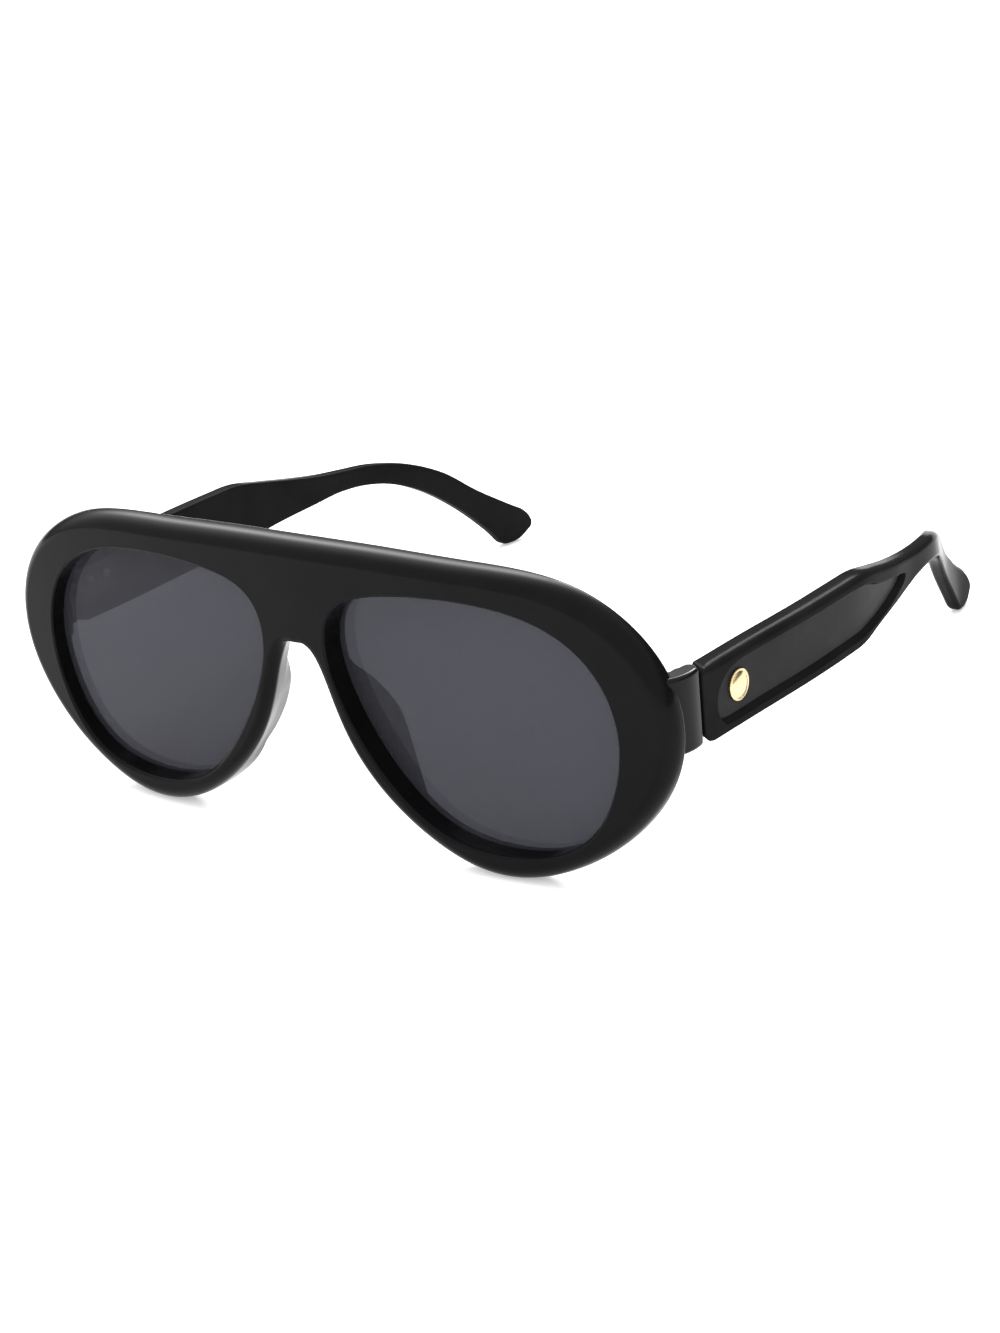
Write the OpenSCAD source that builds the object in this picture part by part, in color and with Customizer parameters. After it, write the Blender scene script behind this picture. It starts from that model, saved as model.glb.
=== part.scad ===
// Oversized teardrop sunglasses, standing open on the rims and the temple tips.
// Millimetres. +Z up, the front faces -Y, the temples run back along +Y,
// X is left-right. The wearer's left is +X.
// Everything is drawn in the plane of the front first (x across, y back from
// the front face, z up from the bottom of the rims) and then leaned back as
// the pair leans when it stands on a table.

/* [Front] */
// Overall width of the front
front_w = 148.6; // [142:0.2:154]
// Thickness of the front at the bridge, front to back
front_t = 6.4; // [6.2:0.1:7]
// Radius of the curve of the front face, seen from above
front_r = 525; // [480:5:600]
// Radius of the curve of the back face, seen from above
back_r = 800; // [760:10:900]
// Height of the end pieces that carry the hinges
lug_h = 13.6; // [12.4:0.2:13.8]

/* [Lenses] */
// Thickness of a lens
lens_t = 1.2; // [1:0.1:1.3]
// How far the lens face lies behind the front face at the bridge
lens_depth = 4.5; // [4.2:0.1:4.6]
// Depth of the groove that holds the lens edge
groove_d = 0.8; // [0.5:0.1:1]
// Radius of the curve of the lenses, seen from above
lens_r = 800; // [760:10:900]

/* [Nose pads] */
// How far a pad stands out behind the rim
pad_h = 5; // [4:0.2:5.4]
// Width of the rounded crest of a pad
pad_w = 2.6; // [2.2:0.2:2.8]

/* [Temples] */
// Thickness of a temple at the hinge
temple_t = 4.2; // [4:0.1:4.6]
// Depth of the recessed side panel
panel_d = 1.1; // [0.6:0.1:1.2]
// Radius of the wire core
core_r = 0.6; // [0.4:0.05:0.65]
// Radius of the round stud on the side panel
stud_r = 2.8; // [2:0.1:3]

/* [Hinges] */
// Radius of the hinge barrel
knuckle_r = 1.5; // [1.35:0.05:1.5]
// Radius of the hinge screw
pin_r = 0.65; // [0.5:0.05:0.75]
// Running clearance round the hinge screw
pin_gap = 0.05; // [0.03:0.01:0.08]
// Height of one knuckle
knuckle_h = 1.2; // [1:0.05:1.2]
// Thickness of the hinge plates
plate_t = 1; // [0.8:0.1:1]

/* [Stance] */
// Degrees that the front leans back when the open pair stands on a table
lean = 2.9; // [2.7:0.1:3.1]

/* [Hidden] */

// where the leaned-back pair sits over its origin
shift_y = -71.95;
shift_z = 0.25;

// ---- curve helpers
function bs(a, b, c, d, t) = ((1 - t)*(1 - t)*(1 - t)*a + (3*t*t*t - 6*t*t + 4)*b
  + (-3*t*t*t + 3*t*t + 3*t + 1)*c + t*t*t*d)/6;
// closed smooth curve steered by the points P, n steps for each
function loop_curve(P, n) = let (m = len(P)) [for (i = [0 : m - 1]) for (k = [0 : n - 1])
  bs(P[(i + m - 1)%m], P[i], P[(i + 1)%m], P[(i + 2)%m], k/n)];
function cr(a, b, c, d, t) = 0.5*(2*b + (c - a)*t + (2*a - 5*b + 4*c - d)*t*t + (3*b - a - 3*c + d)*t*t*t);
// open smooth curve through the points P
function thru_curve(P, n) = let (m = len(P)) [for (i = [0 : m - 2]) for (k = [0 : n - 1])
  cr(P[max(i - 1, 0)], P[i], P[i + 1], P[min(i + 2, m - 1)], k/n), P[m - 1]];
function unit(v) = v/norm(v);
// moves a counter-clockwise loop outwards by d
function grow(P, d) = let (m = len(P)) [for (i = [0 : m - 1])
  let (t = unit(P[(i + 1)%m] - P[(i + m - 1)%m])) P[i] + d*[t[1], -t[0]]];
function rev(P) = [for (i = [len(P) - 1 : -1 : 0]) P[i]];
function scale_x(P, s) = [for (p = P) [p[0]*s, p[1]]];
function take(v, i) = [for (p = v) p[i]];

// ---- outlines, in the plane of the front (x, z)
half_outline = [[0, 56], [17, 56], [33, 55.4], [46, 55.3], [58, 53.3], [68.5, 46.5], [74.8, 36.5],
  [74.8, 24], [67.5, 12.5], [56.5, 4], [41.5, -1.5], [26, 2.5], [9.7, 17.4], [5.5, 32.7], [2.4, 38], [0, 37.2]];
lens_steer = [[66, 29], [61.5, 41.5], [50.5, 48.5], [34.5, 50], [19, 49], [8, 46], [6, 34.5],
  [14.5, 18], [26, 6.5], [39.5, 4], [54, 6], [62.5, 15]];
sx = front_w/148.6;
hn = len(half_outline);
outline = rev(scale_x(loop_curve(concat(half_outline, [for (i = [hn - 2 : -1 : 1]) [-half_outline[i][0], half_outline[i][1]]]), 5), sx));
opening = scale_x(loop_curve(lens_steer, 6), sx);

// ---- temple, left side, in side view (y, z)
seam_y = 15;
// cross-sections from the hinge to the tip: low edge y, z, x, top edge y, z, x, half thickness
temple_rows = concat([[15, 27.5, 72.4, 15, 38.1, 72.4, 2.1], [15.5, 26.5, 72.4, 15.4, 38.5, 72.4, 2.1],
  [16.4, 25.8, 72.4, 16.2, 38.7, 72.4, 2.1], [17.8, 25.5, 72.42, 17.8, 38.7, 72.42, 2.1]],
  thru_curve([[20, 25.5, 72.5, 20, 38.7, 72.5, 2.1], [33, 25.5, 72.85, 33, 38.85, 72.85, 2.1],
  [48, 25.65, 73.5, 48, 39, 73.5, 2.1], [60, 25.8, 73.6, 60, 39.1, 73.6, 2.1], [66, 26.1, 73.55, 67, 39, 73.5, 2.1],
  [72, 27, 73, 74, 37.7, 72.8, 2], [79, 27.9, 72.1, 82, 36.1, 71.7, 1.95], [87, 28.9, 70.8, 90, 34.8, 70.2, 1.85],
  [94.5, 29.6, 69.7, 97, 34.1, 69, 1.8], [102, 29.2, 68.2, 104.5, 33.4, 67.2, 1.75], [109, 27.5, 65.9, 112, 31.6, 64, 1.7],
  [116, 23.8, 62.6, 119.6, 27.8, 60.6, 1.65], [123, 18.2, 59.6, 127, 22, 57.8, 1.6], [130, 11.5, 57.6, 134.6, 17, 55.7, 1.6],
  [133.3, 7.75, 56.9, 139.4, 14.2, 54.9, 1.6]], 3),
  [[134.4, 6.95, 56.7, 141.4, 12.4, 54.7, 1.5], [136.9, 6.8, 56.4, 142.5, 10.6, 54.9, 1.2], [139.2, 7.2, 56.2, 142.4, 9.2, 55.3, 0.8]]);
panel_side = concat(thru_curve([[62, 37.1], [68, 36.6], [74, 34.8], [80, 33.7], [84.6, 32.9], [86, 32.2], [84, 31],
  [75, 28.9], [66, 27.7]], 4), [[50, 27.3]], thru_curve([[32, 27.1], [22.4, 27.1], [20, 28.7], [19.3, 31.5],
  [20.2, 34], [22.8, 36], [27, 36.9]], 4));
// plan of a temple: y, distance of its middle from the centre line, half thickness
temple_plan = thru_curve([[15, 72.4, 2.1], [30, 72.8, 2.1], [48, 73.5, 2.1], [64, 73.6, 2.1], [76, 72.5, 2],
  [88, 70.6, 1.85], [98, 69.1, 1.8]], 4);
// the wire core: (x, y, z)
core_path = [[72.3, 18.4, 29.4], [72.3, 32, 29.7], [72.9, 48, 31.4], [73, 66, 32.2], [71.5, 80, 32],
  [69.9, 92, 32], [67.8, 103, 31.2], [65, 110.5, 29.4], [61.7, 117.6, 26], [58.8, 124.6, 20.5], [56.9, 131, 15]];

core_curve = thru_curve(core_path, 2);

// ---- hinge, left side
hinge_x = 68.6;
hinge_y = 14.9;
hinge_z = 33.5;
level_gap = 0.1;
barrel_h = 5*knuckle_h + 4*level_gap;
barrel_z = hinge_z - barrel_h/2;
lug_back = 11.2;

module placed() { translate([0, shift_y, shift_z]) rotate([-lean, 0, 0]) children(); }
module right_side() { mirror([1, 0, 0]) children(); }
// a prism of an (x, z) outline from y0 to y1
module prism_y(P, y0, y1) { translate([0, y1, 0]) rotate([90, 0, 0]) linear_extrude(y1 - y0) polygon(P); }
// a prism of a (y, z) outline from x0 to x1
module prism_x(P, x0, x1) { translate([x0, 0, 0]) rotate([90, 0, 90]) linear_extrude(x1 - x0) polygon(P); }
// the space between two upright cylinders whose fronts lie at y0 and y1
module curved_slab(y0, r0, y1, r1) {
  difference() {
    translate([0, y0 + r0, -6]) cylinder(r = r0, h = 70, $fn = 900);
    translate([0, y1 + r1, -7]) cylinder(r = r1, h = 72, $fn = 900);
  }
}
module tube_x(r, x0, x1, y, z) { translate([x0, y, z]) rotate([0, 90, 0]) cylinder(r = r, h = x1 - x0, $fn = 32); }
module tube_y(r, y0, y1, x, z) { translate([x, y1, z]) rotate([90, 0, 0]) cylinder(r = r, h = y1 - y0, $fn = 32); }

// ---- front
module lug() {
  translate([0, 0, 39.5 - lug_h]) linear_extrude(lug_h)
    // its end is cut at a slant that faces the slanted end of the temple
    polygon([[66, 6.4], [66, lug_back], [70.4, lug_back], [70.4, 13.2], [70.8, 13.6], [70.8, seam_y + 2.55],
      [74.3, seam_y - 0.4], [74.5, 12.6], [74.1, 10.2], [73.2, 8.2], [71.6, 6.4]]);
}
module rivet_holes_front() {
  for (z = [29.2, 37.8]) tube_y(0.62, 8.9, 13, 68.2, z);
}
module front_half_cuts() {
  prism_y(opening, -5, 20);
  intersection() {
    prism_y(grow(opening, groove_d + 0.05), 1, 16);
    curved_slab(lens_depth - 0.05, lens_r, lens_depth + lens_t + 0.05, lens_r);
  }
  rivet_holes_front();
}
front_round = [[1.5, 3.5], [0.1, 3.5], [-0.3, 1.7], [-1.3, 0.45], [-3.1, -0.1], [-3.1, -1.5], [1.5, -1.5]];
back_round = [[-1.1, 1.5], [-1.1, 0.1], [0.1, -1.1], [1.5, -1.1], [1.5, 1.5]];
module front_frame() {
  color([0.015, 0.015, 0.017]) placed() difference() {
    union() {
      difference() {
        intersection() {
          prism_y(outline, -2, 18);
          curved_slab(0, front_r, front_t, back_r);
        }
        // rounded rim, front and back
        loop_solid(edge_rings(outline, front_round, 0, front_r));
        loop_solid(edge_rings(outline, back_round, front_t, back_r));
      }
      lug();
      right_side() lug();
    }
    front_half_cuts();
    right_side() front_half_cuts();
  }
}

// a closed loop of cross-sections, joined into a ring
module loop_solid(rings) {
  m = len(rings[0]);
  n = len(rings);
  polyhedron(points = [for (r = rings) for (q = r) q],
    faces = [for (i = [0 : n - 1]) for (k = [0 : m - 1]) for (h = [0, 1])
      h == 0 ? [i*m + k, ((i + 1)%n)*m + k, ((i + 1)%n)*m + (k + 1)%m]
             : [i*m + k, ((i + 1)%n)*m + (k + 1)%m, i*m + (k + 1)%m]], convexity = 8);
}
// depth of a face of radius r at x
function sag(x, r) = r - sqrt(r*r - x*x);
// cutter that rounds an edge along the loop P: section points are (outward, behind the face)
function edge_rings(P, S, y0, r) = let (m = len(P)) [for (i = [0 : m - 1])
  let (t = unit(P[(i + 1)%m] - P[(i + m - 1)%m]), n = [t[1], -t[0]])
  [for (s = S) let (q = P[i] + s[0]*n) [q[0], y0 + sag(q[0], r) + s[1], q[1]]]];

// ---- lenses
module lens() {
  intersection() {
    prism_y(grow(opening, groove_d), 1, 16);
    curved_slab(lens_depth, lens_r, lens_depth + lens_t, lens_r);
  }
}
module lens_left() { color([0.12, 0.12, 0.14, 0.8]) placed() lens(); }
module lens_right() { color([0.12, 0.12, 0.14, 0.8]) placed() right_side() lens(); }

// ---- nose pads: a ridge behind the inner side of each rim, leaning away from the nose
// (z, x of its nose side at the rim, x and y of the middle of its rounded crest, share of the crest width)
pad_path = thru_curve([[34, 6.3, 7, 5.3, 0.6], [33.2, 6.6, 7.7, 5.4, 0.85], [32, 7.1, 8.8, 5.95, 1], [30, 7.8, 10, 7.5, 1],
  [28, 8.5, 10.9, 8.7, 1], [26, 9.25, 11.8, 9.6, 1], [24, 10.05, 12.8, 10.2, 1], [22, 11, 13.6, 10.25, 1], [20, 12.05, 14.4, 10, 1],
  [18, 13.25, 15.35, 9.6, 1], [16, 14.65, 16.4, 9, 1], [14, 16.15, 17.8, 8.2, 1], [12, 17.7, 19.3, 7.2, 1], [10, 19.4, 20.9, 5.95, 0.95],
  [8.8, 20.7, 21.9, 5.35, 0.7]], 2);
pad_steps = 7;
function pad_ring(p) = let (r = pad_w/2*p[4], k = [p[2], 6.4 + (p[3] - 6.4)*pad_h/5], b = [p[1], 6.2], d = k - b,
  y0 = 6 + p[1]*p[1]/1600, a = atan2(d[1], d[0]) + asin(r/norm(d)) + 90)
  concat([[p[1], y0, p[0]]], [for (i = [0 : pad_steps - 1]) let (w = a*(1 - i/(pad_steps - 1)))
    [k[0] + r*cos(w), max(k[1] + r*sin(w), y0 + 0.01*(i + 1)), p[0]]], [[k[0] + r, y0, p[0]]]);
module ring_solid(rings) {
  m = len(rings[0]);
  n = len(rings);
  polyhedron(points = [for (r = rings) for (q = r) q],
    faces = concat([[for (k = [0 : m - 1]) k]],
      [for (i = [0 : n - 2]) for (k = [0 : m - 1]) for (h = [0, 1])
        h == 0 ? [i*m + k, (i + 1)*m + k, (i + 1)*m + (k + 1)%m]
               : [i*m + k, (i + 1)*m + (k + 1)%m, i*m + (k + 1)%m]],
      [[for (k = [m - 1 : -1 : 0]) (n - 1)*m + k]]), convexity = 4);
}
module nose_pad() { ring_solid([for (p = pad_path) pad_ring(p)]); }
module nose_pad_left() { color([0.02, 0.02, 0.02]) placed() nose_pad(); }
module nose_pad_right() { color([0.02, 0.02, 0.02]) placed() right_side() nose_pad(); }

// ---- hinges
module barrel(levels) {
  for (i = levels) translate([hinge_x, hinge_y, barrel_z + i*(knuckle_h + level_gap)])
    cylinder(r = knuckle_r, h = knuckle_h, $fn = 48);
}
module pin_hole() { translate([hinge_x, hinge_y, barrel_z - 1]) cylinder(r = pin_r + pin_gap, h = barrel_h + 2, $fn = 48); }
module front_hinge() {
  difference() {
    union() {
      translate([66.1, lug_back, hinge_z - 5.2]) cube([4.1, plate_t, 10.4]);
      for (i = [1, 3]) translate([hinge_x - knuckle_r, lug_back + plate_t - 0.2, barrel_z + i*(knuckle_h + level_gap)])
        cube([2*knuckle_r, hinge_y - lug_back - plate_t + 0.2, knuckle_h]);
      barrel([1, 3]);
    }
    pin_hole();
    rivet_holes_front();
  }
}
module rivets_front() {
  for (z = [29.2, 37.8]) {
    tube_y(0.6, 9, lug_back + plate_t, 68.2, z);
    tube_y(0.9, lug_back + plate_t, lug_back + plate_t + 0.4, 68.2, z);
  }
}
module rivet_holes_temple() {
  for (y = [20, 24.4]) tube_x(0.62, 69, 72.7, y, 33.9);
}
module temple_hinge() {
  difference() {
    union() {
      translate([70.6 - plate_t, 17.2, hinge_z - 3.2]) cube([plate_t, 9.8, 6.4]);
      for (i = [0, 2, 4]) translate([68.2, hinge_y, barrel_z + i*(knuckle_h + level_gap)])
        cube([2.4, 2.6, knuckle_h]);
      barrel([0, 2, 4]);
    }
    pin_hole();
    rivet_holes_temple();
  }
}
module rivets_temple() {
  for (y = [20, 24.4]) {
    tube_x(0.6, 70.6 - plate_t, 72.6, y, 33.9);
    tube_x(0.9, 70.2 - plate_t, 70.6 - plate_t, y, 33.9);
  }
}
module hinge_screw() {
  translate([hinge_x, hinge_y, barrel_z]) difference() {
    union() {
      cylinder(r = pin_r, h = barrel_h + 0.2, $fn = 48);
      translate([0, 0, barrel_h]) cylinder(r = 1.2, h = 0.7, $fn = 48);
    }
    translate([-1.3, -0.15, barrel_h + 0.4]) cube([2.6, 0.3, 0.5]);
  }
}
module front_hinge_left() { color([0.75, 0.76, 0.78]) placed() front_hinge(); }
module front_hinge_right() { color([0.75, 0.76, 0.78]) placed() right_side() front_hinge(); }
module front_hinge_rivets_left() { color([0.8, 0.8, 0.8]) placed() rivets_front(); }
module front_hinge_rivets_right() { color([0.8, 0.8, 0.8]) placed() right_side() rivets_front(); }
module temple_hinge_left() { color([0.75, 0.76, 0.78]) placed() temple_hinge(); }
module temple_hinge_right() { color([0.75, 0.76, 0.78]) placed() right_side() temple_hinge(); }
module temple_hinge_rivets_left() { color([0.8, 0.8, 0.8]) placed() rivets_temple(); }
module temple_hinge_rivets_right() { color([0.8, 0.8, 0.8]) placed() right_side() rivets_temple(); }
module hinge_screw_left() { color([0.7, 0.7, 0.72]) placed() hinge_screw(); }
module hinge_screw_right() { color([0.7, 0.7, 0.72]) placed() right_side() hinge_screw(); }

// ---- temples
stud_y = 26.8;
stud_z = 32.2;
panel_floor = 72.72 + temple_t/2 - panel_d;
// a tube of the given radius along a path
tube_sides = 10;
function tube_ring(P, i, r) = let (m = len(P), t = unit(P[min(i + 1, m - 1)] - P[max(i - 1, 0)]),
  u = unit(cross([1, 0, 0], t)), v = cross(t, u))
  [for (k = [0 : tube_sides - 1]) P[i] + r*cos(360*k/tube_sides)*u + r*sin(360*k/tube_sides)*v];
module wire(path, r) { ring_solid([for (i = [0 : len(path) - 1]) tube_ring(path, i, r)]); }
// the plan of a temple from a to b of its half thickness, as an upright slab
module plan_slab(a, b) {
  k = temple_t/4.2;
  translate([0, 0, -2]) linear_extrude(50) polygon(concat([for (p = temple_plan) [p[1] + a(p)*k, p[0]]],
    rev([for (p = temple_plan) [p[1] + b(p)*k, p[0]]])));
}
// a cross-section with rounded corners across row i
function temple_ring(R, i) = let (m = len(R), a = R[max(i - 1, 0)], b = R[min(i + 1, m - 1)], p = R[i],
  t = [b[2] + b[5] - a[2] - a[5], b[0] + b[3] - a[0] - a[3], b[1] + b[4] - a[1] - a[4]],
  lo = [p[2], p[0], p[1]], hi = [p[5], p[3], p[4]], H = norm(hi - lo), v = (hi - lo)/H,
  w = unit(cross(t, v)), h = p[6]*temple_t/4.2, c = min(1.1, H*0.35, h*0.62), e = c*0.3)
  [for (q = [[c - h, 0], [e - h, e], [-h, c], [-h, H - c], [e - h, H - e], [c - h, H], [h - c, H], [h - e, H - e], [h, H - c],
    [h, c], [h - e, e], [h - c, 0]]) lo + q[0]*w + q[1]*v];
module temple() {
  difference() {
    ring_solid([for (i = [0 : len(temple_rows) - 1]) temple_ring(temple_rows, i)]);
    // side panel
    intersection() {
      prism_x(panel_side, 60, 90);
      plan_slab(function (p) p[2] - panel_d, function (p) p[2] + 3);
    }
    // slanted front end, behind the slanted end piece of the front
    translate([0, 0, 20]) linear_extrude(25) polygon([[69, 13.5], [76.2, 13.5], [70.2, seam_y + 3.6], [69, seam_y + 3.6]]);
    // seat of the hinge plate
    translate([66, seam_y - 1, hinge_z - 3.5]) cube([4.65, 13.3, 7]);
    rivet_holes_temple();
    tube_x(0.72, panel_floor - 1.5, panel_floor + 1, stud_y, stud_z);
    // channel of the wire core, drilled from the hinge end
    wire(concat([[core_path[0][0], 10, core_path[0][2] - 0.1]], core_curve), core_r + 0.06);
  }
}
module side_stud() {
  // pin, flange and shallow dome turned in one piece
  translate([panel_floor, stud_y, stud_z]) rotate([0, 90, 0]) rotate_extrude($fn = 96)
    polygon(concat([[0, -1.4], [0.68, -1.4], [0.68, 0.09], [stud_r, 0.09], [stud_r, 0.35]],
      [for (a = [10 : 10 : 80]) [stud_r*(0.1 + 0.9*cos(a)), 0.35 + 0.7*sin(a)]], [[0.25*stud_r, 1.05], [0, 1.05]]));
}
module temple_left() { color([0.015, 0.015, 0.017]) placed() temple(); }
module temple_right() { color([0.015, 0.015, 0.017]) placed() right_side() temple(); }
module temple_core_left() { color([0.7, 0.7, 0.7]) placed() wire(core_curve, core_r); }
module temple_core_right() { color([0.7, 0.7, 0.7]) placed() right_side() wire(core_curve, core_r); }
module side_stud_left() { color([0.85, 0.68, 0.35]) placed() side_stud(); }
module side_stud_right() { color([0.85, 0.68, 0.35]) placed() right_side() side_stud(); }

front_frame();
lens_left();
lens_right();
nose_pad_left();
nose_pad_right();
front_hinge_left();
front_hinge_right();
front_hinge_rivets_left();
front_hinge_rivets_right();
temple_left();
temple_right();
temple_hinge_left();
temple_hinge_right();
temple_hinge_rivets_left();
temple_hinge_rivets_right();
hinge_screw_left();
hinge_screw_right();
temple_core_left();
temple_core_right();
side_stud_left();
side_stud_right();
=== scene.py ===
import math

import bpy
import numpy as np
from mathutils import Matrix, Vector
from mathutils.geometry import delaunay_2d_cdt


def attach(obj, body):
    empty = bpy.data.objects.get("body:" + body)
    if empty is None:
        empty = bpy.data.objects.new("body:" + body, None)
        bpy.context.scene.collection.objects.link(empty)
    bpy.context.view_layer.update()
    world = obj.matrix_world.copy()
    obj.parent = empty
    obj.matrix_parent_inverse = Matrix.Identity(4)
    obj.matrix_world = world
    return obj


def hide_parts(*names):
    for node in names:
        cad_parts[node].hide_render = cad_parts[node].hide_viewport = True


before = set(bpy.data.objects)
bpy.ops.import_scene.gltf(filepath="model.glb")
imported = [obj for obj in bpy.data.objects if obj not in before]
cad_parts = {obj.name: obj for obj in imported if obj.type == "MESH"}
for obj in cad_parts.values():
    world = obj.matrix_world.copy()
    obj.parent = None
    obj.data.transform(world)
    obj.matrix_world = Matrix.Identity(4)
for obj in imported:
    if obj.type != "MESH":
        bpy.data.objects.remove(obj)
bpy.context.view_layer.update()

# ---------------------------------------------------------------- frames
# Shapes are drawn in the plane of the front, in millimetres: x across, y back
# from the front face, z up from the rims. The pair then leans back to stand.
LEAN = math.radians(2.9)
CL, SL = math.cos(LEAN), math.sin(LEAN)
SHIFT_Y, SHIFT_Z = -71.95, 0.25


def to_row(P):
    P = np.asarray(P, float)
    x, y, z = P[..., 0], P[..., 1], P[..., 2]
    return np.stack([x, y * CL + z * SL + SHIFT_Y, -y * SL + z * CL + SHIFT_Z], -1) / 1000


def turn(D):
    D = np.asarray(D, float)
    x, y, z = D[..., 0], D[..., 1], D[..., 2]
    return np.stack([x, y * CL + z * SL, -y * SL + z * CL], -1)


# ---------------------------------------------------------------- curves
def loop_curve(P, n):
    P = np.array(P, float)
    m = len(P)
    t = (np.arange(n) / n)[:, None]
    out = []
    for i in range(m):
        a, b, c, d = P[(i - 1) % m], P[i], P[(i + 1) % m], P[(i + 2) % m]
        out.append(((1 - t) ** 3 * a + (3 * t ** 3 - 6 * t ** 2 + 4) * b
                    + (-3 * t ** 3 + 3 * t ** 2 + 3 * t + 1) * c + t ** 3 * d) / 6)
    return np.vstack(out)


def thru_curve(P, n):
    P = np.array(P, float)
    m = len(P)
    t = (np.arange(n) / n)[:, None]
    out = []
    for i in range(m - 1):
        a, b, c, d = P[max(i - 1, 0)], P[i], P[i + 1], P[min(i + 2, m - 1)]
        out.append(0.5 * (2 * b + (c - a) * t + (2 * a - 5 * b + 4 * c - d) * t ** 2
                          + (3 * b - a - 3 * c + d) * t ** 3))
    out.append(P[-1][None])
    return np.vstack(out)


def even(P, n):
    """n points at even steps along the closed loop P."""
    Q = np.vstack([P, P[:1]])
    s = np.r_[0, np.cumsum(np.linalg.norm(np.diff(Q, axis=0), axis=1))]
    t = np.arange(n) / n * s[-1]
    return np.stack([np.interp(t, s, Q[:, j]) for j in range(Q.shape[1])], 1)


def soften(P, sigma):
    """Smooths a closed loop of evenly spaced values."""
    k = int(math.ceil(sigma * 3))
    w = np.exp(-0.5 * (np.arange(-k, k + 1) / sigma) ** 2)
    w /= w.sum()
    return sum(wi * np.roll(P, -j, 0) for j, wi in zip(range(-k, k + 1), w))


def area(P):
    return 0.5 * np.sum(P[:, 0] * np.roll(P[:, 1], -1) - np.roll(P[:, 0], -1) * P[:, 1])


def ccw(P):
    return P if area(P) > 0 else P[::-1].copy()


def outward(P):
    t = np.roll(P, -1, 0) - np.roll(P, 1, 0)
    t /= np.linalg.norm(t, axis=1)[:, None]
    return np.stack([t[:, 1], -t[:, 0]], 1)


def smooth01(a, b, x):
    t = np.clip((np.asarray(x, float) - a) / (b - a), 0, 1)
    return t * t * (3 - 2 * t)


def mix(a, b, w):
    return a + (b - a) * w


def inside(poly, pts):
    x, y = pts[:, 0], pts[:, 1]
    hit = np.zeros(len(pts), bool)
    x0, y0 = poly[:, 0], poly[:, 1]
    x1, y1 = np.roll(x0, -1), np.roll(y0, -1)
    for a, b, c, d in zip(x0, y0, x1, y1):
        if b == d:
            continue
        k = (b > y) != (d > y)
        hit ^= k & (x < (c - a) * (y - b) / (d - b) + a)
    return hit


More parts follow.
